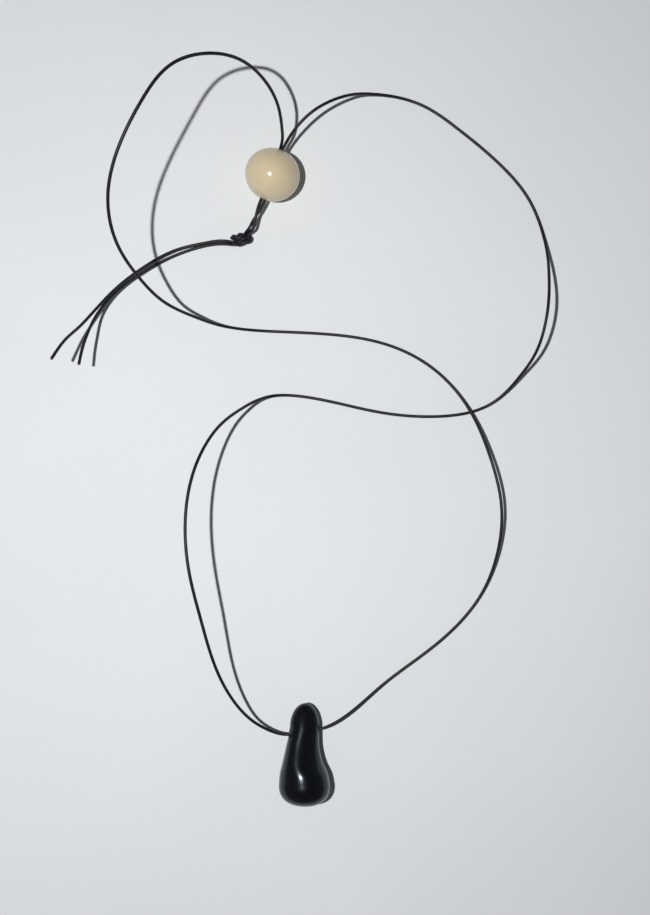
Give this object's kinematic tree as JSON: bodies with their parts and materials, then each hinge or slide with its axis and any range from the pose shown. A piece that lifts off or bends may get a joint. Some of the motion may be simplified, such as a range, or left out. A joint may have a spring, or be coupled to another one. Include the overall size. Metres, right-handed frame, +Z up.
{
  "type": "pendant necklace",
  "caption": "Pendant necklace: a glossy pear-shaped drop and a round adjuster bead on one knotted cord.",
  "frame": {"origin": "on the surface that the necklace lies on, under the middle of the box round the drop and the bead", "axes": "+Y from the drop to the bead, +X to the right seen from above, +Z up off the surface"},
  "size_m": [0.151, 0.2228, 0.0632],
  "materials": {
    "pendant": "glossy black glaze",
    "bead": "glossy cream, slightly translucent",
    "cord": "smooth round black cord, slight sheen"
  },
  "bodies": {
    "cord": {"knot": "cord", "right_strand": "cord", "left_strand": "cord", "long_tail": "cord", "short_tail": "cord"},
    "bead": {"bead": "bead"},
    "pendant": {"pendant": "pendant"}
  },
  "joints": [
    {"name": "bead_slide", "type": "slide", "parent": "cord", "child": "bead", "axis": [-0.3816, -0.9079, -0.1736], "range_m": [0, 0.01]},
    {"name": "pendant_swing", "type": "hinge", "parent": "cord", "child": "pendant", "pos_m": [0.0047, -0.0797, 0.00555], "axis": [-0.9877, -0.1564, 0], "range_deg": [0, 170]}
  ]
}
